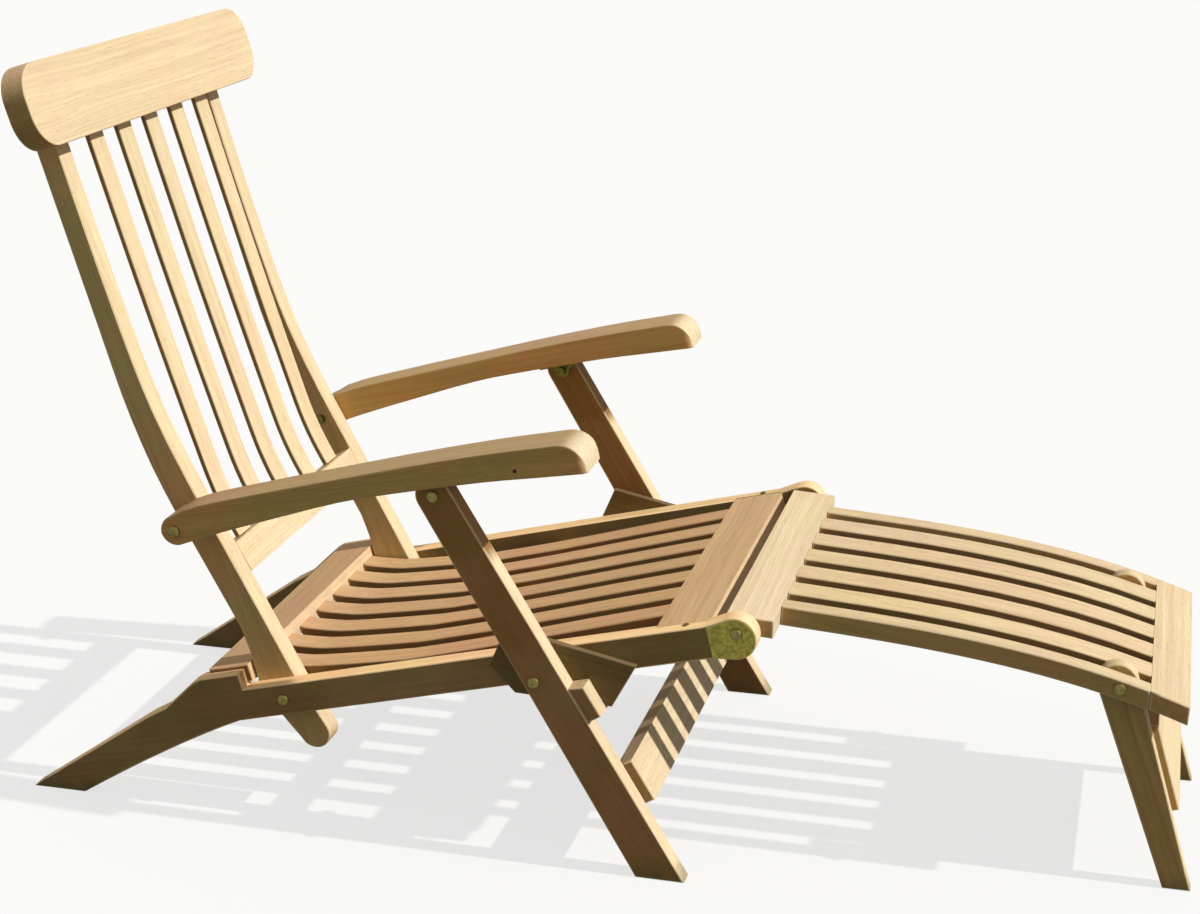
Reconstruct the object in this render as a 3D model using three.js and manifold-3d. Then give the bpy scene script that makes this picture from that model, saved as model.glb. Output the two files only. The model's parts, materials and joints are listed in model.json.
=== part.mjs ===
// A folding teak steamer deck chair, in millimetres.
// +X points to the foot of the chair, +Y to the sitter's left and +Z up; the floor is Z = 0.
import * as THREE from "three";
import { mergeVertices } from "three/addons/utils/BufferGeometryUtils.js";
import Module from "manifold-3d";

const wasm = await Module();
wasm.setup();

// Gaps that pieces keep from each other
const play = 0.3; // pieces that touch
const pivot_play = 0.6; // pieces that turn against each other
const bore_play = 0.4; // a bolt in its hole
const overrun = 5; // how far a cut runs past the face that it opens

// Seat frame, from the middle of the chair outwards
const rail_inner_half = 225;
const rail_thick = 25;
const rail_depth = 42;
const rail_tilt = THREE.MathUtils.degToRad(14);
const spacer_thick = 9.4;
const spacer_length = 160;
const easing = 1.5; // rounding of the edges of every board
const small_easing = 1;

// Where the pivots are in the side view
const back_pivot_x = -376;
const back_pivot_z = 168;
const leg_pivot_x = -33;
const leg_pivot_z = 246;
const linkage_lean_x = -119; // from the back's pivot to the arm's, and from leg pivot to leg top
const linkage_lean_z = 226;

// Side rails, which are seat rail and rear leg in one board
const heel_x = -744;
const toe_x = -670;
const haunch_run = 194; // along the rail, behind the back's pivot
const haunch_rise = 3; // above the line through the middle of the rail
const block_foot_run = 169;
const block_foot_rise = 10;
const block_height = 42.5;
const block_slope_run = 12;
const block_slope_fall = 4;
const block_lip = 7;
const hollow_run = 170;
const hollow_rise = -40;
const belly_run = 70;
const nose_run = 598;
const nose_radius = 26.5;
const nose_neck = 35; // the rail swells into its nose along this length
const housing_depth = 8; // how far the cross boards sit in the rails
const hinge_ahead = 3.5; // the leg rest's hinge, from the middle of the nose
const hinge_rise = 6.6;

// Boards and slats of the seat
const rear_board_width = 57;
const rear_board_thick = 24;
const rear_board_proud = 5; // above the block that it sits in
const front_board_width = 68;
const front_board_thick = 22;
const front_board_behind = 29; // its front edge, from the middle of the nose
const slat_pitch = 58;
const slat_width = 38;
const seat_slat_thick = 16;
const seat_low = 10.5; // lowest point of the seat above the middle line of the rail
const seat_rear_lift = 23.5;
const seat_curve_shares = [
  [0, 1], [0.06, 0.55], [0.13, 0.21], [0.28, 0], [0.54, 0.06], [0.81, 0.3], [1, 0.447],
];
const seat_slat_count = 7;
const batten_run = 232;
const batten_width = 40;
const batten_thick = 18;

// Back
const stile_thick = 30;
const stile_foot_length = 62; // below its pivot
const stile_foot_half = 21;
const stile_pivot_half = 16.5;
const stile_heel_swell = 19.5; // the stile's back edge bulges out to rest on the rear board
const stile_heel_length = 104;
const stile_heel_shares = [[-0.22, 0.7], [0.02, 1], [0.24, 1], [0.45, 0.68], [0.7, 0.38], [1, 0.14]];
const stile_arm_half = 19.5;
const stile_top_half = 15;
const stile_waist_share = 0.32; // where the stile is stile_arm_half wide to each side
const back_bend_rise = 110; // the stile's bend, above the arm's pivot
const back_bend_length = 200; // the stile turns from one lean to the other along this length
const back_upper_length = 336;
const back_upper_lean = THREE.MathUtils.degToRad(16.3);
const back_slat_pitch = 71;
const back_slat_width = 37;
const back_slat_thick = 9;
const back_slat_forward = 6.5; // in front of the middle of the stile, at the lower rail
const back_slat_inset = 9; // in front of the headrest's back face
const back_slat_bend = 90; // the slats turn at the arm's pivot along this length
const back_slat_count = 5;
const lower_rail_up = 158; // its lower edge above the pivot, along the stile
const lower_rail_width = 42;
const lower_rail_thick = 24;
const headrest_length = 610;
const headrest_height = 101;
const headrest_thick = 31;
const headrest_corner = 41;
const headrest_lap = 59; // the stiles reach this far up behind it

// Arms
const arm_rear_width = 50;
const arm_front_width = 64;
const arm_splay = 13; // how much further out the inner edge is at the front
const arm_length = 551; // in front of its pivot
const arm_tongue_radius = 19;
const arm_depth = 36;
const arm_round_share = 0.45; // the most of its depth that the rounding takes
const arm_nose_radius = 30; // seen from the side
const arm_corner_radius = 7; // seen from above
const arm_easing = 2.5; // rounding along its long edges
const arm_top_shares = [
  [0, 0.53], [0.06, 0.78], [0.25, 0.96], [0.45, 1.09], [0.62, 1.2], [0.8, 1.25], [0.93, 1.22],
];
const arm_under_shares = [
  [0, -0.53], [0.1, -0.3], [0.23, -0.06], [0.4, 0.22], [0.52, 0.3], [0.75, 0.3], [0.88, 0.22],
  [1, 0.14],
];
const arm_slot_reach = 26; // above the pivot in the front leg
const arm_slot_front = 30;
const arm_slot_back = 62;

// Front legs
const leg_thick = 25;
const leg_top_radius = 22.5;
const leg_heel_x = 91;
const leg_toe_x = 152;
const stretcher_thick = 22;
const stretcher_width = 58;
const stretcher_up = 103; // its lower edge above the toe, along the leg
const stretcher_sink = 10; // how far it sits behind the leg's front edge
const stop_length = 48;
const stop_thick = 19;

// Leg rest
const footrest_tilt = THREE.MathUtils.degToRad(3.5);
const footrest_top = 12; // above the hinge
const footrest_board_back = 18;
const footrest_board_front = 39;
const footrest_board_thick = 24;
const footrest_length = 521;
const footrest_drop = 48.5;
const footrest_front_width = 46;
const footrest_rail_inner_half = 155;
const footrest_rail_thick = 24;
const footrest_rail_depth = 25;
const footrest_slat_thick = 14;
const footrest_slat_count = 5;
const knee_run = 440;
const knee_under = 11; // below the top of the slats
const knee_leg_radius = 24;
const knee_leg_back = 3; // the round top's middle, from the knee bolt
const knee_leg_down = 4;
const knee_leg_thick = 18.4;
const knee_heel_ahead = 66.5; // on the floor, from the knee bolt
const knee_toe_ahead = 99.5;
const crossboard_thick = 16;
const crossboard_width = 114;
const crossboard_down = 68; // its upper edge below the knee, along the leg
const crossboard_sink = 8;

// Brass
const bolt_radius = 3;
const bolt_head_radius = 7.2;
const bolt_head_height = 3.8;
const bolt_head_edge = 1.2;
const bolt_head_fall = 1;
const bolt_head_crown_share = 0.62;
const nut_radius = 5.5;
const nut_height = 4.6;
const nut_pocket = 7;
const washer_radius = 6.8;
const washer_height = 1.4;
const hinge_bolt_grip = 34;
const screw_radius = 2.2;
const screw_head_radius = 4.5;
const screw_head_height = 1.6;
const screw_head_flat_share = 0.6;
const screw_length = 22;
const screw_behind = 58; // from the middle of the nose
const hinge_plate_thick = 2.5;
const hinge_plate_reach = 31; // behind the middle of the nose
const hinge_plate_margin = 1.5; // inside the rail's edge
const bracket_sheet = 3;
const bracket_flange = 17;
const bracket_half_length = 27;
const bracket_ear_radius = 11;

// Facets
const arc_steps = 8;
const curve_steps = 9;
const bend_steps = 6;
const bolt_sides = 12;

const teak = { color: 0xc79a63, roughness: 0.62, metalness: 0 };
const brass = { color: 0xb5893f, roughness: 0.35, metalness: 1 };

const chair = new THREE.Group();

const flat = (x, z) => new THREE.Vector2(x, z);

function addPiece(name, geometry, look) {
  const faceted = geometry.index ? geometry.toNonIndexed() : geometry;
  faceted.computeVertexNormals();
  const mesh = new THREE.Mesh(faceted, new THREE.MeshStandardMaterial(look));
  mesh.name = name;
  chair.add(mesh);
}

// Both sides of the chair: the sitter's right is at -Y.
const sides = [
  { side: "right", sign: -1 },
  { side: "left", sign: 1 },
];

// A board cut to an outline in the side view, from one distance from the middle to another.
function board(shape, from, to, ease = easing, steps = arc_steps) {
  const low = Math.min(from, to);
  const high = Math.max(from, to);
  const geometry = new THREE.ExtrudeGeometry(shape, {
    depth: high - low - 2 * ease,
    curveSegments: steps,
    bevelEnabled: ease > 0,
    bevelSize: ease,
    bevelThickness: ease,
    bevelOffset: -ease,
    bevelSegments: 1,
  });
  geometry.rotateX(Math.PI / 2);
  geometry.translate(0, high - ease, 0);
  return geometry;
}

function toSolid(geometry) {
  const bare = geometry.index ? geometry.toNonIndexed() : geometry.clone();
  bare.deleteAttribute("normal");
  bare.deleteAttribute("uv");
  const merged = mergeVertices(bare, 1e-4);
  return new wasm.Manifold(
    new wasm.Mesh({
      numProp: 3,
      vertProperties: merged.attributes.position.array,
      triVerts: new Uint32Array(merged.index.array),
    }),
  );
}

function toGeometry(solid) {
  const mesh = solid.getMesh();
  const geometry = new THREE.BufferGeometry();
  geometry.setAttribute("position", new THREE.BufferAttribute(mesh.vertProperties, mesh.numProp));
  geometry.setIndex(new THREE.BufferAttribute(mesh.triVerts, 1));
  return geometry;
}

// A cylinder along Y, to drill a hole with.
function drill(centre, radius, from, to) {
  const bar = new THREE.CylinderGeometry(radius, radius, Math.abs(to - from), bolt_sides);
  bar.translate(centre.x, (from + to) / 2, centre.y);
  return toSolid(bar);
}

function bolt_bore(centre, from, to) {
  return drill(centre, bolt_radius + bore_play, from, to);
}

function cut(geometry, ...tools) {
  const solid = tools.reduce((left, tool) => left.subtract(tool), toSolid(geometry));
  return toGeometry(solid);
}

function outline(points) {
  return new THREE.Shape(points);
}

function curveThrough(points, steps = curve_steps) {
  return new THREE.SplineCurve(points).getPoints(steps);
}

// The angle at which a line from a point touches a circle.
function tangentAngle(centre, radius, from, turn) {
  const reach = from.clone().sub(centre);
  return reach.angle() + turn * Math.acos(radius / reach.length());
}

// A leg: rounded about its pivot at the top, flat on the floor between heel and toe.
function legShape(top, radius, heel, toe) {
  const shape = new THREE.Shape();
  shape.moveTo(heel.x, heel.y);
  shape.lineTo(toe.x, toe.y);
  const front = tangentAngle(top, radius, toe, 1);
  const back = tangentAngle(top, radius, heel, -1);
  shape.absarc(top.x, top.y, radius, front, back, false);
  shape.closePath();
  return shape;
}

// A bolt along Y: domed head outside, and a washer and nut at its inner end where it has them.
function boltProfile(length, nut) {
  const profile = [
    flat(0, bolt_head_height),
    flat(bolt_head_crown_share * bolt_head_radius, bolt_head_height - bolt_head_fall),
    flat(bolt_head_radius, bolt_head_edge),
    flat(bolt_head_radius, 0),
    flat(bolt_radius, 0),
  ];
  if (nut) {
    const seat = -length - play;
    profile.push(flat(bolt_radius, seat));
    profile.push(flat(washer_radius, seat));
    profile.push(flat(washer_radius, seat - washer_height));
    profile.push(flat(nut_radius, seat - washer_height));
    profile.push(flat(nut_radius, seat - washer_height - nut_height));
    profile.push(flat(0, seat - washer_height - nut_height));
  } else {
    profile.push(flat(bolt_radius, -length));
    profile.push(flat(0, -length));
  }
  return profile.reverse();
}

// head: distance of the head's underside from the middle; tail: where the grip ends.
function bolt(centre, head, tail, sign, nut) {
  const geometry = new THREE.LatheGeometry(boltProfile(head - tail, nut), bolt_sides);
  if (sign < 0) geometry.rotateX(Math.PI);
  geometry.translate(centre.x, sign * head, centre.y);
  return geometry;
}

// Places in the side view
const back_pivot = flat(back_pivot_x, back_pivot_z);
const leg_pivot = flat(leg_pivot_x, leg_pivot_z);
const lean = flat(linkage_lean_x, linkage_lean_z);
const arm_pivot = back_pivot.clone().add(lean);
const leg_top = leg_pivot.clone().add(lean);
const along_rail = flat(Math.cos(rail_tilt), Math.sin(rail_tilt));
const above_rail = flat(-along_rail.y, along_rail.x);

function onRail(run, rise) {
  return back_pivot.clone().addScaledVector(along_rail, run).addScaledVector(above_rail, rise);
}

const footrest_hinge = onRail(nose_run + hinge_ahead, hinge_rise);
const front_board_run = nose_run - front_board_behind - front_board_width;
const screw_run = nose_run - screw_behind;

// Distances from the middle of the chair
const rail_outer_half = rail_inner_half + rail_thick;
const leg_inner_half = rail_outer_half + spacer_thick + 2 * play;
const leg_outer_half = leg_inner_half + leg_thick;
const stile_outer_half = rail_inner_half - pivot_play;
const stile_inner_half = stile_outer_half - stile_thick;
const arm_rear_inner = stile_outer_half + pivot_play;
const arm_rear_outer = arm_rear_inner + arm_rear_width;
const arm_front_inner = arm_rear_inner + arm_splay;
const arm_front_outer = arm_front_inner + arm_front_width;
const footrest_rail_outer = footrest_rail_inner_half + footrest_rail_thick;

// The stile's middle line, from its foot to its top
const lower_lean = Math.atan2(-lean.x, lean.y);
const up_lower = flat(-Math.sin(lower_lean), Math.cos(lower_lean));
const up_upper = flat(-Math.sin(back_upper_lean), Math.cos(back_upper_lean));
const bend_corner = arm_pivot.clone().addScaledVector(up_lower, back_bend_rise);
const bend_start = bend_corner.clone().addScaledVector(up_lower, -back_bend_length / 2);
const bend_end = bend_corner.clone().addScaledVector(up_upper, back_bend_length / 2);
const stile_top = bend_end.clone().addScaledVector(up_upper, back_upper_length);
const bend = new THREE.QuadraticBezierCurve(bend_start, bend_corner, bend_end);
const stile_line = [back_pivot, ...bend.getPoints(bend_steps), stile_top];

// A line beside a route; ahead is the distance in front of it at a share of its length.
function besideRoute(route, ahead) {
  const reach = [0];
  route.slice(1).forEach((place, index) => reach.push(reach[index] + place.distanceTo(route[index])));
  return route.map((place, index) => {
    const before = route[Math.max(index - 1, 0)];
    const after = route[Math.min(index + 1, route.length - 1)];
    const way = after.clone().sub(before).normalize();
    const forward = flat(way.y, -way.x);
    const share = reach[index] / reach[reach.length - 1];
    return place.clone().addScaledVector(forward, ahead(share));
  });
}

function stileHalf(share) {
  const { lerp } = THREE.MathUtils;
  if (share < stile_waist_share) return lerp(stile_pivot_half, stile_arm_half, share / stile_waist_share);
  return lerp(stile_arm_half, stile_top_half, (share - stile_waist_share) / (1 - stile_waist_share));
}

// The stile's heel bulges backwards from its middle line and rests on the rear board's front edge.
const heel_points = curveThrough(
  stile_heel_shares.map(([up, back]) =>
    back_pivot
      .clone()
      .addScaledVector(up_lower, up * stile_heel_length)
      .add(flat(-up_lower.y, up_lower.x).multiplyScalar(stile_pivot_half + back * stile_heel_swell)),
  ),
);
const heel_reach = Math.max(
  ...heel_points.map((place) => -place.clone().sub(back_pivot).dot(along_rail)),
);
const rear_board_front = -(heel_reach + play);
const rear_board_back = rear_board_front - rear_board_width;
const rear_board_high = block_height + rear_board_proud;
const block_front = rear_board_front - block_lip;
const block_back = rear_board_back - block_lip;

// The round nose of a board along the rail, from under its neck to over it
function noseArc(shape, radius, neck, half) {
  const nose = onRail(nose_run, 0);
  const under_neck = onRail(nose_run - neck, -half);
  const over_neck = onRail(nose_run - neck, half);
  shape.lineTo(under_neck.x, under_neck.y);
  const start = tangentAngle(nose, radius, under_neck, 1);
  const end = tangentAngle(nose, radius, over_neck, -1);
  shape.absarc(nose.x, nose.y, radius, start, end, false);
  shape.lineTo(over_neck.x, over_neck.y);
}

function railShape() {
  const half = rail_depth / 2;
  const shape = new THREE.Shape();
  const line = (place) => shape.lineTo(place.x, place.y);
  shape.moveTo(heel_x, 0);
  shape.lineTo(toe_x, 0);
  const hollow = onRail(-hollow_run, hollow_rise);
  const belly = onRail(-belly_run, -half);
  shape.quadraticCurveTo(hollow.x, hollow.y, belly.x, belly.y);
  noseArc(shape, nose_radius, nose_neck, half);
  line(onRail(block_front, half));
  line(onRail(block_front, block_height));
  line(onRail(block_back, block_height));
  line(onRail(block_back - block_slope_run, block_height - block_slope_fall));
  line(onRail(-block_foot_run, block_foot_rise));
  line(onRail(-haunch_run, haunch_rise));
  shape.closePath();
  return shape;
}

function rearBoardShape(grow) {
  const low = rear_board_high - rear_board_thick;
  return outline([
    onRail(rear_board_back - grow, low - grow),
    onRail(rear_board_front + grow, low - grow),
    onRail(rear_board_front + grow, rear_board_high + grow),
    onRail(rear_board_back - grow, rear_board_high + grow),
  ]);
}

function frontBoardShape(grow) {
  const high = rail_depth / 2;
  const front = front_board_run + front_board_width;
  return outline([
    onRail(front_board_run - grow, high - front_board_thick - grow),
    onRail(front + grow, high - front_board_thick - grow),
    onRail(front + grow, high + grow),
    onRail(front_board_run - grow, high + grow),
  ]);
}

function makeRails() {
  for (const { side, sign } of sides) {
    const rail = board(railShape(), sign * rail_inner_half, sign * rail_outer_half);
    const inside = sign * (rail_inner_half - overrun);
    const outside = sign * (rail_outer_half + overrun);
    const housing = sign * (rail_inner_half + housing_depth);
    const screw_place = onRail(screw_run, rail_depth / 2 - screw_length / 2);
    const screw_hole = new THREE.CylinderGeometry(
      screw_radius + bore_play, screw_radius + bore_play, screw_length + 2 * overrun, bolt_sides,
    );
    screw_hole.rotateX(Math.PI / 2);
    screw_hole.rotateY(-rail_tilt);
    screw_hole.translate(screw_place.x, sign * (rail_outer_half - rail_thick / 2), screw_place.y);
    addPiece(
      "side_rail_" + side,
      cut(
        rail,
        bolt_bore(back_pivot, inside, outside),
        bolt_bore(leg_pivot, inside, outside),
        bolt_bore(footrest_hinge, inside, outside),
        toSolid(board(rearBoardShape(play), inside, housing, 0)),
        toSolid(board(frontBoardShape(play), inside, housing, 0)),
        toSolid(screw_hole),
      ),
      teak,
    );
  }
}

function seatTop(share) {
  const points = seat_curve_shares.map(([run, lift]) => flat(run, lift));
  const at = new THREE.SplineCurve(points).getPoint(share);
  return { run: at.x, lift: at.y };
}

function seatSlatShape() {
  const start = rear_board_front + play;
  const end = front_board_run - play;
  const top = [];
  for (let step = 0; step <= 2 * curve_steps; step += 1) {
    const { run, lift } = seatTop(step / (2 * curve_steps));
    top.push([THREE.MathUtils.lerp(start, end, run), seat_low + lift * seat_rear_lift]);
  }
  const under = top.map(([run, rise]) => onRail(run, rise - seat_slat_thick)).reverse();
  return outline([...under.reverse(), ...top.map(([run, rise]) => onRail(run, rise)).reverse()]);
}

function makeSeat() {
  const board_half = rail_inner_half + housing_depth - play;
  addPiece("seat_rear_board", board(rearBoardShape(0), -board_half, board_half), teak);
  addPiece("seat_front_board", board(frontBoardShape(0), -board_half, board_half), teak);
  for (let index = 0; index < seat_slat_count; index += 1) {
    const middle = (index - (seat_slat_count - 1) / 2) * slat_pitch;
    const slat = board(seatSlatShape(), middle - slat_width / 2, middle + slat_width / 2);
    addPiece("seat_slat_" + (index + 1), slat, teak);
  }
  const batten_top = seat_low - seat_slat_thick;
  const batten = outline([
    onRail(batten_run, batten_top - batten_thick),
    onRail(batten_run + batten_width, batten_top - batten_thick),
    onRail(batten_run + batten_width, batten_top - play),
    onRail(batten_run, batten_top - play),
  ]);
  const batten_half = rail_inner_half - play;
  addPiece("seat_batten", board(batten, -batten_half, batten_half, small_easing), teak);
}

const leg_heel = flat(leg_heel_x, 0);
const leg_toe = flat(leg_toe_x, 0);
const front_touch_angle = tangentAngle(leg_top, leg_top_radius, leg_toe, 1);
const leg_front_top = leg_top
  .clone()
  .add(flat(Math.cos(front_touch_angle), Math.sin(front_touch_angle)).multiplyScalar(leg_top_radius));
const down_leg = leg_toe.clone().sub(leg_front_top).normalize();
const ahead_leg = flat(-down_leg.y, down_leg.x);

// Where the front leg's front edge passes a given height above the middle line of the rail
function legFrontAtRise(rise) {
  const start = leg_front_top.clone().sub(onRail(0, rise));
  const fall = -start.dot(above_rail) / down_leg.dot(above_rail);
  return leg_front_top.clone().addScaledVector(down_leg, fall);
}

function stopShape(grow) {
  const top_back = legFrontAtRise(-rail_depth / 2 - pivot_play + grow);
  const width = stop_thick + grow;
  const top_front = top_back.clone().addScaledVector(along_rail, width / along_rail.dot(ahead_leg));
  const low_back = top_back.clone().addScaledVector(down_leg, stop_length + 2 * grow);
  const low_front = low_back.clone().addScaledVector(ahead_leg, width);
  const back_gap = play - grow;
  return outline([
    low_back.addScaledVector(ahead_leg, back_gap),
    low_front,
    top_front,
    top_back.addScaledVector(ahead_leg, back_gap),
  ]);
}

function makeSpacers() {
  const corner_shares = [[-0.26, 0.35], [0.75, 0.14], [0.56, -0.21], [-0.2, -0.18], [-0.4, 0.03]];
  const corners = corner_shares.map(([run, rise]) =>
    leg_pivot.clone().add(flat(run, rise).multiplyScalar(spacer_length)),
  );
  const inner = rail_outer_half + play;
  const outer = inner + spacer_thick;
  for (const { side, sign } of sides) {
    const plate = board(outline(corners), sign * inner, sign * outer, small_easing);
    const from = sign * (inner - overrun);
    const to = sign * (outer + overrun);
    const notch = toSolid(board(stopShape(2 * pivot_play), from, to, 0));
    addPiece("leg_spacer_" + side, cut(plate, notch, bolt_bore(leg_pivot, from, to)), teak);
  }
}

function stileShape() {
  const foot = back_pivot.clone().addScaledVector(up_lower, -stile_foot_length);
  const front = besideRoute(stile_line, stileHalf);
  const upper_back = besideRoute(stile_line, (share) => -stileHalf(share)).slice(1);
  const back = [...heel_points, ...upper_back];
  const shape = new THREE.Shape();
  const start = Math.PI / 2 + lower_lean;
  shape.absarc(foot.x, foot.y, stile_foot_half, start + Math.PI / 2, start - Math.PI / 2 + 2 * Math.PI);
  front.forEach((place) => shape.lineTo(place.x, place.y));
  back.reverse().forEach((place) => shape.lineTo(place.x, place.y));
  shape.closePath();
  return shape;
}

// The headrest's lower back edge, and the direction that it faces
const stile_length = stile_line
  .slice(1)
  .reduce((sum, place, index) => sum + place.distanceTo(stile_line[index]), 0);
const headrest_seat = stileHalf(1 - headrest_lap / stile_length) + play;
const headrest_lower_back = stile_top
  .clone()
  .addScaledVector(flat(up_upper.y, -up_upper.x), headrest_seat)
  .addScaledVector(up_upper, -headrest_lap);
const headrest_ahead = flat(up_upper.y, -up_upper.x);

function headrestGeometry() {
  const half = headrest_length / 2;
  const shape = new THREE.Shape();
  const corner = headrest_corner;
  const high = headrest_height;
  shape.moveTo(-half + corner, 0);
  shape.lineTo(half - corner, 0);
  shape.absarc(half - corner, corner, corner, -Math.PI / 2, 0);
  shape.absarc(half - corner, high - corner, corner, 0, Math.PI / 2);
  shape.absarc(-half + corner, high - corner, corner, Math.PI / 2, Math.PI);
  shape.absarc(-half + corner, corner, corner, Math.PI, 1.5 * Math.PI);
  const geometry = new THREE.ExtrudeGeometry(shape, {
    depth: headrest_thick - 2 * small_easing,
    curveSegments: arc_steps,
    bevelSize: small_easing,
    bevelThickness: small_easing,
    bevelOffset: -small_easing,
    bevelSegments: 1,
  });
  geometry.translate(0, 0, small_easing);
  const across = new THREE.Vector3(0, 1, 0);
  const up = new THREE.Vector3(up_upper.x, 0, up_upper.y);
  const ahead = new THREE.Vector3(headrest_ahead.x, 0, headrest_ahead.y);
  geometry.applyMatrix4(new THREE.Matrix4().makeBasis(across, up, ahead));
  geometry.translate(headrest_lower_back.x, 0, headrest_lower_back.y);
  return geometry;
}

function makeBack() {
  for (const { side, sign } of sides) {
    const stile = board(stileShape(), sign * stile_inner_half, sign * stile_outer_half);
    const from = sign * (stile_inner_half - overrun);
    const to = sign * (stile_outer_half + overrun);
    const pocket_floor = sign * (stile_inner_half + nut_pocket + play);
    const pocket_radius = washer_radius + bore_play;
    addPiece(
      "back_stile_" + side,
      cut(
        stile,
        bolt_bore(back_pivot, from, to),
        bolt_bore(arm_pivot, from, to),
        drill(back_pivot, pocket_radius, from, pocket_floor),
      ),
      teak,
    );
  }
  addPiece("headrest", headrestGeometry(), teak);

  const rail_middle = back_pivot
    .clone()
    .addScaledVector(up_lower, lower_rail_up)
    .addScaledVector(flat(up_lower.y, -up_lower.x), back_slat_forward);
  const forward = flat(up_lower.y, -up_lower.x);
  const rail_corner = (up, ahead) =>
    rail_middle.clone().addScaledVector(up_lower, up).addScaledVector(forward, ahead);
  const rail_half = lower_rail_thick / 2;
  const lower_rail = outline([
    rail_corner(0, -rail_half),
    rail_corner(0, rail_half),
    rail_corner(lower_rail_width, rail_half),
    rail_corner(lower_rail_width, -rail_half),
  ]);
  const rail_reach = stile_inner_half - play;
  addPiece("back_lower_rail", board(lower_rail, -rail_reach, rail_reach), teak);

  // The slats run from the lower rail's top edge to the headrest's lower edge.
  const slat_foot = rail_middle.clone().addScaledVector(up_lower, lower_rail_width + play);
  const slat_corner = arm_pivot.clone().addScaledVector(forward, back_slat_forward);
  const slat_top = headrest_lower_back
    .clone()
    .addScaledVector(headrest_ahead, back_slat_inset)
    .addScaledVector(up_upper, -play);
  const up_slat = slat_top.clone().sub(slat_corner).normalize();
  const slat_bend = new THREE.QuadraticBezierCurve(
    slat_corner.clone().addScaledVector(up_lower, -back_slat_bend / 2),
    slat_corner,
    slat_corner.clone().addScaledVector(up_slat, back_slat_bend / 2),
  );
  const slat_line = [slat_foot, ...slat_bend.getPoints(bend_steps), slat_top];
  const slat_front = besideRoute(slat_line, () => back_slat_thick / 2);
  const slat_back = besideRoute(slat_line, () => -back_slat_thick / 2);
  const slat_shape = outline([...slat_front, ...slat_back.reverse()]);
  for (let index = 0; index < back_slat_count; index += 1) {
    const middle = (index - (back_slat_count - 1) / 2) * back_slat_pitch;
    const from = middle - back_slat_width / 2;
    const to = middle + back_slat_width / 2;
    addPiece("back_slat_" + (index + 1), board(slat_shape, from, to, small_easing), teak);
  }
}

const along_arm = leg_top.clone().sub(arm_pivot).normalize();
const above_arm = flat(-along_arm.y, along_arm.x);

function onArm(run, rise) {
  return arm_pivot.clone().addScaledVector(along_arm, run).addScaledVector(above_arm, rise);
}

function armCurve(shares) {
  const curve = new THREE.SplineCurve(shares.map(([run, rise]) => flat(run, rise)));
  return curve.getPoints(2 * curve_steps).map((at) => [at.x * arm_length, at.y * arm_depth]);
}

function armEdge(shares, run) {
  const curve = armCurve(shares);
  const next = curve.findIndex(([at]) => at > run);
  if (next < 0) return curve[curve.length - 1][1];
  const [run_a, rise_a] = curve[next - 1];
  const [run_b, rise_b] = curve[next];
  return THREE.MathUtils.mapLinear(run, run_a, run_b, rise_a, rise_b);
}

// How far a quarter round has come in at a distance past its start
function roundedOff(radius, past) {
  return radius - Math.sqrt(radius ** 2 - Math.max(past, 0) ** 2);
}

// The arm's four sides at a distance in front of its pivot
function armSides(run) {
  const share = (run + arm_tongue_radius) / (arm_length + arm_tongue_radius);
  const corner = roundedOff(arm_corner_radius, run - arm_length + arm_corner_radius);
  const tongue = Math.sqrt(Math.max(arm_tongue_radius ** 2 - run ** 2, 0));
  const high = run < 0 ? tongue : armEdge(arm_top_shares, run);
  return {
    low: run < 0 ? -tongue : armEdge(arm_under_shares, run),
    high: high - roundedOff(arm_nose_radius, run - arm_length + arm_nose_radius),
    inner: THREE.MathUtils.lerp(arm_rear_inner, arm_front_inner, share) + corner,
    outer: THREE.MathUtils.lerp(arm_rear_outer, arm_front_outer, share) - corner,
  };
}

// One section across the arm, with rounded corners
function armSection(run, sign) {
  const { low, high, inner, outer } = armSides(run);
  const round = Math.min(arm_easing, (high - low) * arm_round_share);
  const centres = [
    [outer - round, high - round],
    [inner + round, high - round],
    [inner + round, low + round],
    [outer - round, low + round],
  ];
  const corners = centres.flatMap(([across, rise], quarter) =>
    [0, 0.5, 1].map((share) => {
      const angle = ((quarter + share) * Math.PI) / 2;
      const place = onArm(run, rise + round * Math.sin(angle));
      return new THREE.Vector3(place.x, sign * (across + round * Math.cos(angle)), place.y);
    }),
  );
  return sign < 0 ? corners.reverse() : corners;
}

// A solid through sections of equally many corners, closed by a flat cap at each end
function loft(sections) {
  const around = sections[0].length;
  const triangles = [];
  for (let ring = 0; ring < sections.length - 1; ring += 1) {
    for (let step = 0; step < around; step += 1) {
      const here = ring * around + step;
      const next = ring * around + ((step + 1) % around);
      triangles.push(here, next, next + around);
      triangles.push(here, next + around, here + around);
    }
  }
  const last = (sections.length - 1) * around;
  for (let step = 1; step < around - 1; step += 1) {
    triangles.push(0, step + 1, step);
    triangles.push(last, last + step, last + step + 1);
  }
  const geometry = new THREE.BufferGeometry().setFromPoints(sections.flat());
  geometry.setIndex(triangles);
  return geometry;
}

function armGeometry(sign) {
  const quarter = Array.from({ length: arc_steps }, (_, step) => ((step + 1) / arc_steps) * (Math.PI / 2));
  const nose_start = arm_length - arm_nose_radius;
  const runs = [
    ...quarter.slice(0, -1).map((angle) => -arm_tongue_radius * Math.cos(angle)),
    ...armCurve(arm_under_shares).map(([run]) => run).filter((run) => run < nose_start - arm_easing),
    nose_start,
    ...quarter.map((angle) => nose_start + arm_nose_radius * Math.sin(angle)),
  ];
  return loft(runs.map((run) => armSection(run, sign)));
}

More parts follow.
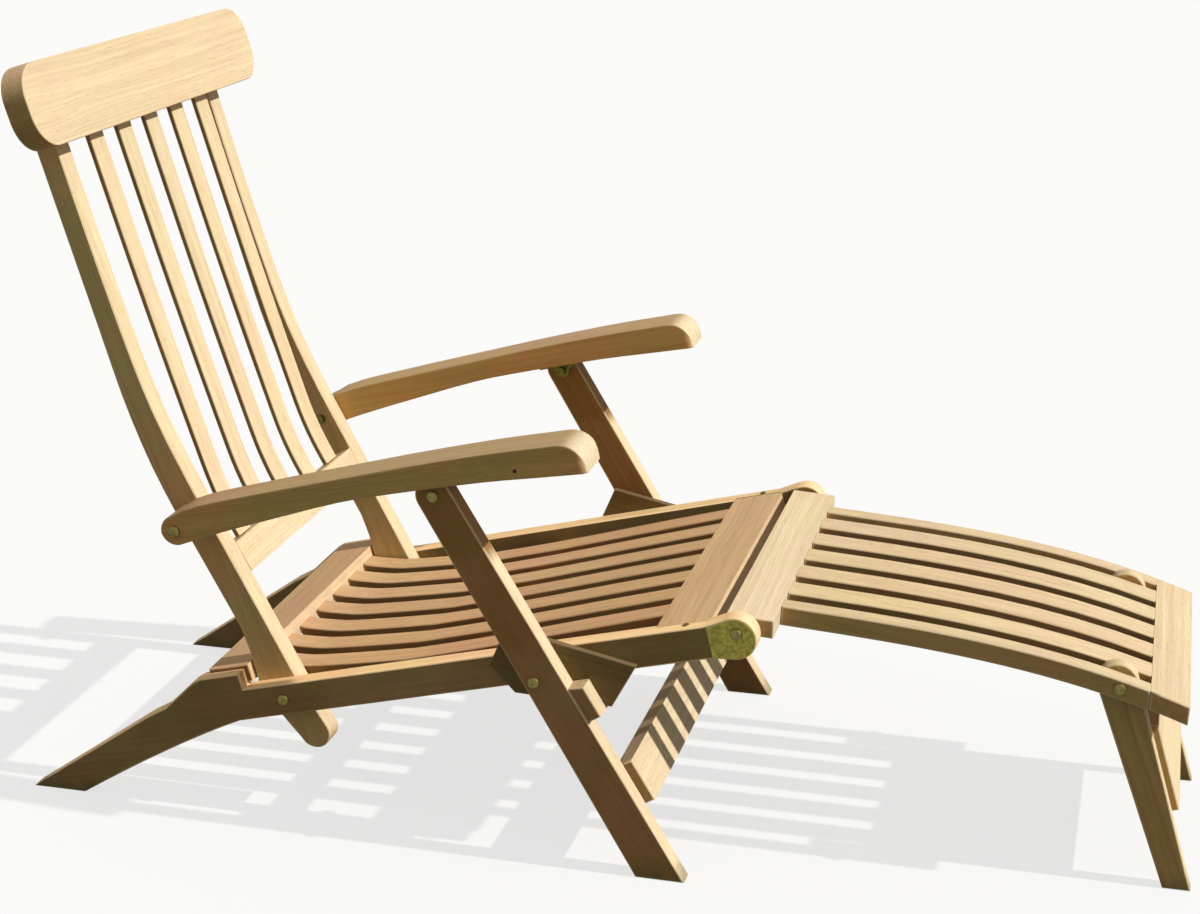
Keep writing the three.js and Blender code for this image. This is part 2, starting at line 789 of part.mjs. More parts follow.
function bracketSolid(sign) {
  const leg_run = leg_top.distanceTo(arm_pivot);
  const runs = [-1, -0.5, 0, 0.5, 1].map((share) => leg_run + share * bracket_half_length);
  const under = (run) => armEdge(arm_under_shares, run) - play;
  const high = runs.map((run) => onArm(run, under(run)));
  const low = runs.map((run) => onArm(run, under(run) - bracket_sheet));
  const outer = leg_inner_half - play;
  const flange_shape = outline([...low, ...high.reverse()]);
  const flange = board(flange_shape, sign * (outer - bracket_flange), sign * outer, 0);
  const ear = new THREE.Shape();
  const first = low[0];
  const last = low[low.length - 1];
  const lift = above_arm.clone().multiplyScalar(bracket_sheet / 2);
  ear.moveTo(last.x + lift.x, last.y + lift.y);
  ear.lineTo(first.x + lift.x, first.y + lift.y);
  const tilt = Math.atan2(along_arm.y, along_arm.x);
  ear.absarc(leg_top.x, leg_top.y, bracket_ear_radius, tilt + Math.PI, tilt + 2 * Math.PI);
  ear.closePath();
  const plate = board(ear, sign * (outer - bracket_sheet), sign * outer, 0);
  return toSolid(flange)
    .add(toSolid(plate))
    .subtract(bolt_bore(leg_top, sign * (outer - bracket_flange - overrun), sign * (outer + overrun)));
}

function makeArms() {
  const leg_run = leg_top.distanceTo(arm_pivot);
  for (const { side, sign } of sides) {
    const from = sign * (arm_rear_inner - overrun);
    const to = sign * (arm_front_outer + overrun);
    const slot_shape = outline([
      onArm(leg_run - arm_slot_back, -arm_depth),
      onArm(leg_run + arm_slot_front, -arm_depth),
      onArm(leg_run + arm_slot_front, arm_slot_reach),
      onArm(leg_run - arm_slot_front, arm_slot_reach),
      onArm(leg_run - arm_slot_back, arm_slot_reach / 2),
    ]);
    const slot_from = sign * (leg_inner_half - pivot_play);
    const slot_to = sign * (leg_outer_half + pivot_play);
    const slot = toSolid(board(slot_shape, slot_from, slot_to, 0));
    const arm = cut(armGeometry(sign), slot, bolt_bore(arm_pivot, from, to));
    addPiece("armrest_" + side, arm, teak);
    addPiece("arm_bracket_" + side, toGeometry(bracketSolid(sign)), brass);
  }
}

function stretcherShape() {
  const corner = (along, ahead) =>
    leg_toe.clone().addScaledVector(down_leg, -along).addScaledVector(ahead_leg, ahead);
  const low = stretcher_up;
  const high = stretcher_up + stretcher_width;
  return outline([
    corner(low, -stretcher_sink),
    corner(low, stretcher_thick - stretcher_sink),
    corner(high, stretcher_thick - stretcher_sink),
    corner(high, -stretcher_sink),
  ]);
}

function makeFrontLegs() {
  const shape = legShape(leg_top, leg_top_radius, leg_heel, leg_toe);
  for (const { side, sign } of sides) {
    const from = sign * (leg_inner_half - overrun);
    const to = sign * (leg_outer_half + overrun);
    const leg = board(shape, sign * leg_inner_half, sign * leg_outer_half);
    const bores = [bolt_bore(leg_top, from, to), bolt_bore(leg_pivot, from, to)];
    addPiece("front_leg_" + side, cut(leg, ...bores), teak);
    const stop = board(stopShape(0), sign * (rail_inner_half + play), sign * leg_outer_half);
    addPiece("leg_stop_" + side, stop, teak);
  }
  const half = leg_inner_half - play;
  addPiece("front_stretcher", board(stretcherShape(), -half, half), teak);
}

const along_rest = flat(Math.cos(footrest_tilt), -Math.sin(footrest_tilt));
const above_rest = flat(-along_rest.y, along_rest.x);

function onRest(run, rise) {
  return footrest_hinge.clone().addScaledVector(along_rest, run).addScaledVector(above_rest, rise);
}

function restTop(run) {
  const bent = (run - footrest_board_front) / (footrest_length - footrest_board_front);
  return footrest_top - footrest_drop * Math.max(bent, 0) ** 3;
}

// A piece that follows the leg rest's arched top between two distances from its hinge
function archedShape(from, to, thick, steps) {
  const top = [];
  const under = [];
  for (let step = 0; step <= steps; step += 1) {
    const run = THREE.MathUtils.lerp(from, to, step / steps);
    top.push(onRest(run, restTop(run)));
    under.push(onRest(run, restTop(run) - thick));
  }
  return outline([...under, ...top.reverse()]);
}

const knee = onRest(knee_run, restTop(knee_run) - knee_under);

function makeFootrest() {
  const board_half = rail_inner_half - pivot_play;
  const hinge_from = rail_inner_half - hinge_bolt_grip - play;
  const rear = board(
    archedShape(-footrest_board_back, footrest_board_front, footrest_board_thick, 1),
    -board_half,
    board_half,
  );
  const bores = sides.map(({ sign }) =>
    bolt_bore(footrest_hinge, sign * hinge_from, sign * (board_half + overrun)),
  );
  addPiece("footrest_rear_board", cut(rear, ...bores), teak);

  const front_from = footrest_length - footrest_front_width;
  const front_shape = archedShape(front_from, footrest_length, footrest_board_thick, 3);
  const front = board(front_shape, -footrest_rail_outer, footrest_rail_outer);
  addPiece("footrest_front_board", front, teak);

  const start = footrest_board_front + play;
  const end = front_from - play;
  const rail_shape = archedShape(start, end, footrest_rail_depth, 2 * curve_steps);
  for (const { side, sign } of sides) {
    const inner = sign * footrest_rail_inner_half;
    const outer = sign * footrest_rail_outer;
    const bore = bolt_bore(knee, inner - sign * overrun, outer + sign * overrun);
    addPiece("footrest_rail_" + side, cut(board(rail_shape, inner, outer), bore), teak);
  }
  const slat_shape = archedShape(start, end, footrest_slat_thick, curve_steps);
  for (let index = 0; index < footrest_slat_count; index += 1) {
    const middle = (index - (footrest_slat_count - 1) / 2) * slat_pitch;
    const slat = board(slat_shape, middle - slat_width / 2, middle + slat_width / 2);
    addPiece("footrest_slat_" + (index + 1), slat, teak);
  }
}

const knee_heel = flat(knee.x + knee_heel_ahead, 0);
const knee_toe = flat(knee.x + knee_toe_ahead, 0);
const knee_round = knee.clone().sub(flat(knee_leg_back, knee_leg_down));
const knee_touch_angle = tangentAngle(knee_round, knee_leg_radius, knee_toe, 1);
const knee_front_top = knee_round
  .clone()
  .add(flat(Math.cos(knee_touch_angle), Math.sin(knee_touch_angle)).multiplyScalar(knee_leg_radius));
const down_knee_leg = knee_toe.clone().sub(knee_front_top).normalize();
const ahead_knee_leg = flat(-down_knee_leg.y, down_knee_leg.x);
const knee_leg_outer = footrest_rail_inner_half - pivot_play;
const knee_leg_inner = knee_leg_outer - knee_leg_thick;

function makeFootrestLegs() {
  const shape = legShape(knee_round, knee_leg_radius, knee_heel, knee_toe);
  for (const { side, sign } of sides) {
    const leg = board(shape, sign * knee_leg_inner, sign * knee_leg_outer);
    const tail = sign * (knee_leg_inner + overrun / 2);
    const bore = bolt_bore(knee, tail, sign * (knee_leg_outer + overrun));
    addPiece("footrest_leg_" + side, cut(leg, bore), teak);
  }
  const corner = (down, ahead) =>
    knee_front_top.clone().addScaledVector(down_knee_leg, down).addScaledVector(ahead_knee_leg, ahead);
  const low = crossboard_down + crossboard_width;
  const cross_shape = outline([
    corner(low, -crossboard_sink),
    corner(low, crossboard_thick - crossboard_sink),
    corner(crossboard_down, crossboard_thick - crossboard_sink),
    corner(crossboard_down, -crossboard_sink),
  ]);
  const half = knee_leg_inner - play;
  addPiece("footrest_leg_crossboard", board(cross_shape, -half, half), teak);
}

function makeHingePlates(plate_inner, plate_outer) {
  const shape = new THREE.Shape();
  const neck = onRail(nose_run - hinge_plate_reach, 0);
  shape.moveTo(neck.x, neck.y);
  const half = rail_depth / 2 - hinge_plate_margin;
  noseArc(shape, nose_radius - hinge_plate_margin, hinge_plate_reach, half);
  shape.closePath();
  for (const { side, sign } of sides) {
    const plate = board(shape, sign * plate_inner, sign * plate_outer, 0);
    const bore = bolt_bore(
      footrest_hinge, sign * (plate_inner - overrun), sign * (plate_outer + overrun),
    );
    addPiece("hinge_plate_" + side, cut(plate, bore), brass);
  }
}

function makeBrass() {
  const plate_inner = rail_outer_half + play;
  const plate_outer = plate_inner + hinge_plate_thick;
  makeHingePlates(plate_inner, plate_outer);
  const arm_face = armSides(bolt_head_radius).outer;
  for (const { side, sign } of sides) {
    const add = (name, centre, head, tail, nut) =>
      addPiece(name + "_" + side, bolt(centre, head + play, tail, sign, nut), brass);
    const pocket = stile_inner_half + nut_pocket;
    add("back_pivot_bolt", back_pivot, rail_outer_half, pocket, true);
    add("arm_pivot_bolt", arm_pivot, arm_face, stile_inner_half, true);
    add("leg_pivot_bolt", leg_pivot, leg_outer_half, rail_inner_half, true);
    const ear_inner = leg_inner_half - play - bracket_sheet;
    add("arm_leg_bolt", leg_top, leg_outer_half, ear_inner, true);
    const grip_end = rail_inner_half - hinge_bolt_grip;
    add("footrest_hinge_bolt", footrest_hinge, plate_outer, grip_end, false);
    add("knee_bolt", knee, footrest_rail_outer, knee_leg_inner + overrun / 2 + play, false);

    const head_low = play;
    const screw = new THREE.LatheGeometry(
      [
        flat(0, -screw_length),
        flat(screw_radius, -screw_length),
        flat(screw_radius, head_low),
        flat(screw_head_radius, head_low),
        flat(screw_head_radius * screw_head_flat_share, head_low + screw_head_height),
        flat(0, head_low + screw_head_height),
      ],
      bolt_sides,
    );
    screw.rotateX(Math.PI / 2);
    screw.rotateY(-rail_tilt);
    const place = onRail(screw_run, rail_depth / 2);
    screw.translate(place.x, sign * (rail_outer_half - rail_thick / 2), place.y);
    addPiece("front_board_screw_" + side, screw, brass);
  }
}

makeRails();
makeSeat();
makeSpacers();
makeBack();
makeArms();
makeFrontLegs();
makeFootrest();
makeFootrestLegs();
makeBrass();

export default chair;
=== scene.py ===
import json
import math
import random

import bmesh
import bpy
from mathutils import Euler, Matrix, Vector


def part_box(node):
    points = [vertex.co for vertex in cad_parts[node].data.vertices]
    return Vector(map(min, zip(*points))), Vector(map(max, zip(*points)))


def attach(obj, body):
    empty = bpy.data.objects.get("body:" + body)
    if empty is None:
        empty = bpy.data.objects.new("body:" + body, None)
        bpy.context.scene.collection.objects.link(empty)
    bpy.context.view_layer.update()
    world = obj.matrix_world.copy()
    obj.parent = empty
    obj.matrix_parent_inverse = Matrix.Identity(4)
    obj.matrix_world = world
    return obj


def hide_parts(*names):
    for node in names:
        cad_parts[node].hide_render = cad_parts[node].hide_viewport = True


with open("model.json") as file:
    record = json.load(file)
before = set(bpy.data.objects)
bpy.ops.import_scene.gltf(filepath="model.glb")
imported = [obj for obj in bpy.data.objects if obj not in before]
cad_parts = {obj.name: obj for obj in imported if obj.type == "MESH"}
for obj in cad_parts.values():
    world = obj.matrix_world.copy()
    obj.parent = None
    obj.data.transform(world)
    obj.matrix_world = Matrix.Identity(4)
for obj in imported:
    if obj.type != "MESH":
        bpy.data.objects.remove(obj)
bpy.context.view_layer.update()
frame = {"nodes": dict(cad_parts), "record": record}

# The camera, solved from the chair's own corners in the photograph
camera_place = Vector((0.65425, -2.46116, 1.30363))
camera_yaw = math.radians(15.4586)
camera_pitch = math.radians(18.7442)
camera_roll = math.radians(0.6078)
camera_lens = 62.763
film_width = 36.0

# The afternoon sun, from the foot of the chair, and the sky
sun_travel = Vector((-0.775, 0.0, -0.632))
sun_strength = 3.15
sun_width = math.radians(0.9)
sun_colour = (1.0, 0.97, 0.91)
sky_colour = (1.0, 0.98, 0.92)
sky_strength = 0.32
white = (1.0, 1.0, 1.0)

# The floor: its colour where it is seen, how much of that shines by itself, and its colour to the
# light that it returns
floor_reach = 40.0
floor_seen = (0.93, 0.93, 0.93)
floor_glow = 0.72
floor_returned = (0.16, 0.165, 0.13)
floor_roughness = 0.95

# The tables of boards: a board takes the first row that its name starts with.
# The angle of its length above +X in the side view, in degrees
grain_angles = {
    "side_rail": 14.0,
    "seat_slat": 14.0,
    "back_stile": 109.0,
    "back_slat": 107.0,
    "armrest": 12.8,
    "front_leg": 121.1,
    "leg_stop": 121.1,
    "leg_spacer": -13.0,
    "footrest_leg": 108.2,
    "footrest": -9.0,
}

# How much of plain teak's red, green and blue it shows where it has weathered, painted darker as
# shade, and where it is bleached, painted paler as light
tint_shares = {
    "side_rail": ((0.54, 0.52, 0.42), (1.42, 1.32, 1.18)),
    # The leg spacer's pale faces are painted dark, as painted shade, where the sun lamp lights them
    "leg_spacer": ((0.46, 0.44, 0.36), (0.3, 0.26, 0.22)),
    "front_leg": ((0.71, 0.53, 0.39), (1.02, 1.03, 1.03)),
    "leg_stop": ((0.73, 0.55, 0.41), (0.9, 0.86, 0.8)),
    "front_stretcher": ((0.7, 0.62, 0.5), (1.02, 1.03, 1.03)),
    "armrest": ((1.5, 1.35, 1.1), (0.7, 0.61, 0.51)),
    "back_stile": ((1.38, 1.44, 1.45), (1.0, 1.0, 0.98)),
    "headrest": ((1.0, 0.95, 0.85), (0.97, 0.93, 0.9)),
    "seat_front": ((0.85, 0.75, 0.65), (0.97, 0.84, 0.75)),
    "seat_": ((0.6, 0.48, 0.38), (0.92, 0.78, 0.7)),
    "footrest_rear": ((1.0, 0.95, 0.85), (1.18, 1.28, 1.4)),
    "footrest_leg": ((1.1, 1.06, 0.88), (1.0, 1.02, 1.0)),
    "footrest_slat": ((0.62, 0.54, 0.44), (1.03, 1.02, 1.0)),
    "footrest": ((1.14, 1.0, 0.9), (0.96, 0.93, 0.93)),
    "back": ((0.85, 0.76, 0.62), (1.0, 1.0, 0.98)),
}

# How much painted sunlight, as cream, its faces that look straight at the sun lamp take, and how
# dark its pores are. The last row is for all other boards
painted_sun_shares = {"leg_spacer": 0.0, "armrest": 0.85, "": 0.55}
pore_shares = {"headrest": 0.06, "": 0.3}

# Words in the names of boards that run across the chair, of bolts without a nut, and of the brass
# that isn't a bolt
crosswise = ("board", "batten", "lower_rail", "headrest", "stretcher")
without_nut = ("hinge", "knee")
other_brass = ("bracket", "screw", "plate")

# What differs from board to board: how many degrees its grain strays along and across the chair,
# where in the log it was cut, how wide its rings are, and its tone
stray_along = 1.3
stray_across = 1.2
log_length = 6.0
pith_distances = (0.05, 0.16)
ring_widths = (0.0032, 0.0056)
lightnesses = (0.94, 1.06)
warmths = (-0.03, 0.03)

# The middle of what a noise gives
noise_middle = 0.5

# Teak's figure: how closely each pattern repeats along the grain and across it, how far the rings
# waver, and how the patterns add up to tone and relief
waver_pitch = (3.0, 14.0)
fibre_pitch = (9.0, 520.0)
streak_pitch = (2.2, 130.0)
pore_pitch = (55.0, 1500.0)
tone_pitch = (2.6, 11.0)
waver_reach = 0.014
ring_unevenness = 2.6
fine_fibre_share = 0.45
streak_share = 0.55
fibre_relief = 0.6
ring_relief = -0.25
pore_depth = 0.7
grain_depth = 0.0006
grain_strength = 0.55

# The direction that the most bleached faces look in, which are also painted palest as lit faces,
# how far noise sways each mask, and how the broad and the fine mottle add up
bleach_and_light_direction = (0.5, 0.12, 0.86)
bleach_and_light_patchiness = 0.35
painted_sun_patchiness = 0.3
foot_darkening_patchiness = -0.05
broad_mottle_share = 0.65
fine_mottle_share = 0.35

# Plain teak where it has weathered, painted darker as shade, and where the sun has bleached it,
# painted paler as light, and the colours that are the same on every board
weathered_and_shaded_teak = {
    "warm": (0.475, 0.28, 0.125),
    "olive": (0.39, 0.3, 0.125),
    "ring": (0.30, 0.175, 0.07),
    "pore": (0.25, 0.14, 0.07),
}
bleached_and_lit_teak = {
    "straw": (0.82, 0.62, 0.41),
    "honey": (0.79, 0.54, 0.345),
    "olive": (0.79, 0.645, 0.35),
    "ring": (0.62, 0.41, 0.22),
    "rubbed": (0.84, 0.68, 0.44),
}
# The cream of painted sunlight, on faces that look straight at the sun lamp
painted_sun_cream = (0.90, 0.77, 0.55)
between_fibres = (0.87, 0.84, 0.79)
on_fibres = (1.07, 1.07, 1.06)
# Darker towards the ground, on the feet
foot_darkening_colour = (0.13, 0.13, 0.05)

# Teak's roughness, and what rings, fibres and the darker feet add to it
teak_roughness = 0.62
ring_roughness = -0.1
fibre_roughness = 0.1
foot_darkening_roughness = 0.2
teak_specular = 0.16

# Brass, and how bright it still is: the hinge plates have tarnished least, and the last row is for
# all the rest. The steps move the stains from one piece to the next
clean_brass = (0.32, 0.28, 0.065)
stained_brass = (0.19, 0.17, 0.03)
clouded_brass = (0.12, 0.13, 0.022)
rubbed_brass = (0.6, 0.5, 0.22)
brass_brightness = {"hinge_plate": 0.9, "": 0.5}
brass_roughness = 0.42
stain_roughness = 0.25
stain_depth = 0.0002
stain_strength = 0.3
stain_steps = (1.0, 0.7, 1.3)

# Meshes: up to what angle an edge is smooth and a face flat, and which corners are one
smooth_angle = math.radians(28.0)
flat_face_weight = 80
merge_distance = 0.00002
cut_distance = merge_distance / 10.0
flat_angle = math.radians(0.4)
wear_layer = "edge"

# Edges that are rounded over: those on both sides of a board's eased edge, and the sharp ones of
# metal. An eased edge is itself a narrow face, which is marked as worn
wood_round_over = 0.0007
eased_angles = (math.radians(35.0), math.radians(58.0))
eased_width = 0.0022
eased_allowance = 1.2
metal_round_over = 0.0004
metal_sharp_angle = math.radians(50.0)

# How the back's slats and stiles depart from the solids
slat_spread = 1.033
slat_narrowing = 0.93
slat_thinning = 0.002
slat_bow = 0.003
slat_straight_end = 0.02
slat_cuts = 12
stile_waist_low = 0.46
stile_waist_high = 0.872
stile_front_waist = 0.0034
stile_back_waist = 0.002
stile_cuts = 10

# How the seat's slats depart from the solids
seat_slat_narrowing = 0.95
seat_lift = 0.004
seat_lift_reach = 0.2

# Where the arms' shadow falls on the tops of the front legs, painted there as shade: above it the
# front legs take their brown
arm_shadow_low = 0.39
arm_shadow_high = 0.412

# The dark plug in each arm's outer side
plug_place = (-0.046, 0.0, 0.5165)
plug_radius = 0.0026
plug_outward = 0.2
plug_colour = (0.07, 0.035, 0.02)

# Bolts. The shank ends a little short of the nut's end
head_height = 0.0038
head_edge = 0.0012
head_wear = 0.5
dome_steps = 8
bolt_sides = 32
shank_radius = 0.003
shank_shortness = 0.0002
washer_radius = 0.0068
washer_height = 0.0014
nut_radius = 0.0055
nut_height = 0.0046


class Nodes:
    """Short calls that add and join a tree's nodes. A source is a socket or a plain value."""

    # The Mix node's sockets for colours
    first_colour = 6
    second_colour = 7
    mixed_colour = 2

    def __init__(self, tree):
        self.tree = tree

    def add(self, kind, **settings):
        node = self.tree.nodes.new("ShaderNode" + kind)
        for name, value in settings.items():
            setattr(node, name, value)
        return node

    def join(self, output, target):
        self.tree.links.new(output, target)

    def value(self, target, source):
        if isinstance(source, bpy.types.NodeSocket):
            self.join(source, target)
        elif target.type == "RGBA":
            target.default_value = (*source, 1.0)
        else:
            target.default_value = source

    def use(self, effect, **sources):
        """Places a shared effect. An underscore stands for the space in an input's name."""
        node = self.add("Group", node_tree=effects[effect])
        for label, source in sources.items():
            self.value(node.inputs[label.replace("_", " ")], source)
        return node.outputs

    def math(self, operation, first, second=0.0, third=0.0):
        node = self.add("Math", operation=operation)
        for socket, source in zip(node.inputs, (first, second, third)):
            self.value(socket, source)
        return node.outputs[0]

    def vector(self, operation, first, second):
        node = self.add("VectorMath", operation=operation)
        self.value(node.inputs[0], first)
        self.value(node.inputs[1], second)
        return node.outputs["Value" if operation in ("DOT_PRODUCT", "DISTANCE") else "Vector"]

    def parts(self, vector):
        node = self.add("SeparateXYZ")
        self.join(vector, node.inputs[0])
        return node.outputs

    def stretched(self, vector, pitch):
        """A place scaled along the grain, which runs along X, and across it."""
        along, across = pitch
        return self.vector("MULTIPLY", vector, (along, across, across))

    def mapped(self, place, location, rotation=(0.0, 0.0, 0.0)):
        node = self.add("Mapping")
        node.inputs["Location"].default_value = location
        node.inputs["Rotation"].default_value = rotation
        self.join(place, node.inputs["Vector"])
        return node.outputs["Vector"]

    def noise(self, source, scale=1.0, detail=2.0, rough=0.5, dimensions="3D", gives="Fac"):
        """Noise over a place, or along a number where dimensions is 1D."""
        node = self.add("TexNoise", noise_dimensions=dimensions)
        self.join(source, node.inputs["W" if dimensions == "1D" else "Vector"])
        node.inputs["Scale"].default_value = scale
        node.inputs["Detail"].default_value = detail
        node.inputs["Roughness"].default_value = rough
        return node.outputs[gives]

    def ramp(self, factor, low, high):
        """Nought up to low and one from high, with a smooth rise between them."""
        node = self.add("MapRange", interpolation_type="SMOOTHSTEP")
        self.value(node.inputs["Value"], factor)
        node.inputs["From Min"].default_value = low
        node.inputs["From Max"].default_value = high
        return node.outputs["Result"]

    def swayed(self, value, noise, reach):
        """A value that a noise raises and lowers."""
        return self.math("MULTIPLY_ADD", self.math("SUBTRACT", noise, noise_middle), reach, value)

    def mix(self, factor, first, second, blend="MIX"):
        node = self.add("Mix", data_type="RGBA", blend_type=blend)
        self.value(node.inputs["Factor"], factor)
        self.value(node.inputs[self.first_colour], first)
        self.value(node.inputs[self.second_colour], second)
        return node.outputs[self.mixed_colour]

    def over(self, below, above, mask, share):
        """One colour laid over another, by a share of a mask."""
        return self.mix(self.math("MULTIPLY", mask, share), below, above)

    def bump(self, height, strength, distance):
        node = self.add("Bump")
        node.inputs["Strength"].default_value = strength
        node.inputs["Distance"].default_value = distance
        self.join(height, node.inputs["Height"])
        return node.outputs["Normal"]

    def seen(self):
        """One for the rays of the camera and of gloss, and nought for light that bounces."""
        rays = self.add("LightPath").outputs
        return self.math("MAXIMUM", rays["Is Camera Ray"], rays["Is Glossy Ray"])

    def mix_shaders(self, share, first, second):
        node = self.add("MixShader")
        self.join(share, node.inputs[0])
        self.join(first.outputs[0], node.inputs[1])
        self.join(second.outputs[0], node.inputs[2])
        return node.outputs[0]


def camera_setup():
    """The photograph's view: turned about Z, tipped down, then rolled."""
    ahead = Vector(
        (
            -math.sin(camera_yaw) * math.cos(camera_pitch),
            math.cos(camera_yaw) * math.cos(camera_pitch),
            -math.sin(camera_pitch),
        )
    )
    right = Vector((math.cos(camera_yaw), math.sin(camera_yaw), 0.0))
    down = ahead.cross(right)
    cosine = math.cos(camera_roll)
    sine = math.sin(camera_roll)
    rolled_right = cosine * right + sine * down
    rolled_down = -sine * right + cosine * down
    data = bpy.data.cameras.new("camera")
    data.sensor_width = film_width
    data.sensor_fit = "HORIZONTAL"
    data.lens = camera_lens
    camera = bpy.data.objects.new("camera", data)
    turn = Matrix((rolled_right, -rolled_down, -ahead)).transposed()
    camera.matrix_world = Matrix.Translation(camera_place) @ turn.to_4x4()
    bpy.context.scene.collection.objects.link(camera)
    bpy.context.scene.camera = camera


def light_setup():
    """A sun, and a soft sky that is plain white where it is seen."""
    scene = bpy.context.scene
    scene.view_settings.view_transform = "Standard"
    sun = bpy.data.lights.new("sun", "SUN")
    sun.energy = sun_strength
    sun.angle = sun_width
    sun.color = sun_colour
    sun_object = bpy.data.objects.new("sun", sun)
    sun_object.rotation_euler = sun_travel.to_track_quat("-Z", "Y").to_euler()
    scene.collection.objects.link(sun_object)

    world = bpy.data.worlds.new("studio")
    world.use_nodes = True
    n = Nodes(world.node_tree)
    sky = world.node_tree.nodes["Background"]
    n.value(sky.inputs["Color"], sky_colour)
    sky.inputs["Strength"].default_value = sky_strength
    backdrop = n.add("Background")
    n.value(backdrop.inputs["Color"], white)
    backdrop.inputs["Strength"].default_value = 1.0
    surface = world.node_tree.nodes["World Output"].inputs["Surface"]
    n.join(n.mix_shaders(n.seen(), sky, backdrop), surface)
    scene.world = world


def new_material(name):
    material = bpy.data.materials.new(name)
    material.use_nodes = True
    tree = material.node_tree
    return material, Nodes(tree), tree.nodes["Principled BSDF"]


def floor_material():
    """Near white where it is seen, with the chair's shadow, and duller to the light it returns."""
    material, n, shader = new_material("floor")
    shader.inputs["Roughness"].default_value = floor_roughness
    shader.inputs["Specular IOR Level"].default_value = 0.0
    seen = n.seen()
    n.join(n.mix(seen, floor_returned, floor_seen), shader.inputs["Base Color"])
    glow = n.math("MULTIPLY", seen, floor_glow)
    surface = material.node_tree.nodes["Material Output"].inputs["Surface"]
    n.join(n.mix_shaders(glow, shader, n.add("Emission")), surface)
    return material


def floor_setup():
    mesh = bpy.data.meshes.new("floor")
    shape = bmesh.new()
    bmesh.ops.create_grid(shape, x_segments=1, y_segments=1, size=floor_reach)
    shape.to_mesh(mesh)
    shape.free()
    floor = bpy.data.objects.new("floor", mesh)
    bpy.context.scene.collection.objects.link(floor)
    mesh.materials.append(floor_material())


def new_group(name, takes, gives):
    """An empty shader node group. takes says what each input is, and each output is a number."""
    tree = bpy.data.node_groups.new(name, "ShaderNodeTree")
    for label, kind in takes.items():
        tree.interface.new_socket(label, in_out="INPUT", socket_type="NodeSocket" + kind)
    for label in gives:
        tree.interface.new_socket(label, in_out="OUTPUT", socket_type="NodeSocketFloat")
    start = tree.nodes.new("NodeGroupInput")
    end = tree.nodes.new("NodeGroupOutput")
    return tree, Nodes(tree), start.outputs, end.inputs


def grain_group():
    """Solid teak: growth rings round a pith along X, fibres, pores and slow changes of tone."""
    tree, n, takes, gives = new_group(
        "teak_grain",
        {"Vector": "Vector", "Ring Width": "Float"},
        ("Rings", "Fibre", "Pores", "Tone", "Height"),
    )
    place = takes["Vector"]
    waver = n.noise(n.stretched(place, waver_pitch), gives="Color")
    waver = n.vector("SUBTRACT", waver, (noise_middle, noise_middle, noise_middle))
    shifted = n.vector("ADD", place, n.stretched(waver, (0.0, waver_reach)))

    parts = n.parts(shifted)
    square = n.math("MULTIPLY", parts["Y"], parts["Y"])
    square = n.math("MULTIPLY_ADD", parts["Z"], parts["Z"], square)
    turns = n.math("DIVIDE", n.math("SQRT", square), takes["Ring Width"])
    uneven = n.noise(turns, scale=0.33, detail=1.0, dimensions="1D")
    turns = n.math("MULTIPLY_ADD", uneven, ring_unevenness, turns)
    saw = n.math("FRACT", turns)
    early = n.ramp(saw, low=0.0, high=0.86)
    late = n.ramp(saw, low=0.9, high=1.0)
    band = n.math("SUBTRACT", early, late)
    strength = n.noise(turns, scale=0.21, detail=2.0, dimensions="1D")
    rings = n.math("MULTIPLY", band, n.ramp(strength, low=0.28, high=0.72))

    fibre = n.noise(n.stretched(shifted, fibre_pitch), detail=4.0, rough=0.62)
    streak = n.noise(n.stretched(shifted, streak_pitch), detail=3.0, rough=0.55)
    fibre = n.math("MULTIPLY", fibre, fine_fibre_share)
    fibre = n.math("ADD", fibre, n.math("MULTIPLY", streak, streak_share))
    dash = n.noise(n.stretched(shifted, pore_pitch), detail=1.0)
    dash = n.ramp(dash, low=0.62, high=0.72)
    pores = n.math("MULTIPLY", dash, n.ramp(band, low=0.1, high=0.6))
    tone = n.noise(n.stretched(place, tone_pitch), detail=3.0, rough=0.6)
    height = n.math("MULTIPLY", rings, ring_relief)
    height = n.math("MULTIPLY_ADD", fibre, fibre_relief, height)
    height = n.math("SUBTRACT", height, n.math("MULTIPLY", pores, pore_depth))

    n.join(rings, gives["Rings"])
    n.join(n.ramp(fibre, low=0.3, high=0.7), gives["Fibre"])
    n.join(pores, gives["Pores"])
    n.join(n.ramp(tone, low=0.3, high=0.72), gives["Tone"])
    n.join(height, gives["Height"])
    return tree


def bleach_and_light_group():
    """Sun and rain's bleach, with painted light: high on faces looking up or to the foot, patchy
    elsewhere.

    Sunward, painted sunlight, is high only where a face looks straight at the afternoon sun.
    """
    tree, n, takes, gives = new_group(
        "sun_bleach", {"Place": "Vector", "Facing": "Vector"}, ("Mask", "Sunward")
    )
    patch = n.noise(takes["Place"], scale=7.0, detail=3.0, rough=0.6)
    lit = n.vector("DOT_PRODUCT", takes["Facing"], bleach_and_light_direction)
    lit = n.swayed(lit, patch, bleach_and_light_patchiness)
    painted_sun = n.vector("DOT_PRODUCT", takes["Facing"], -sun_travel)
    painted_sun = n.swayed(painted_sun, patch, painted_sun_patchiness)
    n.join(n.ramp(lit, low=-0.25, high=0.55), gives["Mask"])
    n.join(n.ramp(painted_sun, low=0.55, high=1.0), gives["Sunward"])
    return tree


def foot_darkening_group():
    """Darker up the feet from the ground, with an uneven edge."""
    tree, n, takes, gives = new_group("ground_soil", {"Place": "Vector"}, ("Mask",))
    blotch = n.noise(takes["Place"], scale=38.0, detail=4.0, rough=0.65)
    height = n.swayed(n.parts(takes["Place"])["Z"], blotch, foot_darkening_patchiness)
    clean = n.ramp(height, low=-0.004, high=0.03)
    n.join(n.math("SUBTRACT", 1.0, clean), gives["Mask"])
    return tree


